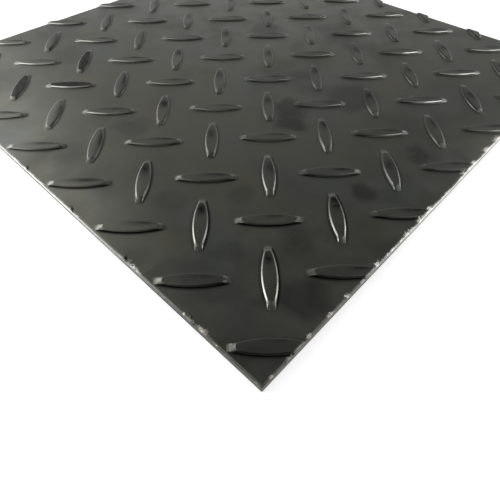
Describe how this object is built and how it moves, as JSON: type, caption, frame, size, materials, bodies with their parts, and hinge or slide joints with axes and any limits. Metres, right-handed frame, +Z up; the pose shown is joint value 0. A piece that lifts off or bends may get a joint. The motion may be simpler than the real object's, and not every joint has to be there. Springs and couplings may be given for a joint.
{
  "type": "checker steel plate",
  "caption": "Square piece of hot-rolled steel floor plate with raised lens-shaped anti-slip lugs set crosswise at 45 degrees to its sheared edges; plain underside.",
  "frame": {"origin": "middle of the plain underside, which lies on the floor", "axes": "+Z up out of the lugged face; +X along the front edge and +Y along the left edge, both away from the front left corner that the picture shows nearest"},
  "size_m": [0.25, 0.25, 0.0039],
  "materials": {
    "mill_scale_steel": "dark oiled mill scale with bare sheared edges"
  },
  "bodies": {
    "root": {"checker_plate": "mill_scale_steel"}
  },
  "joints": []
}
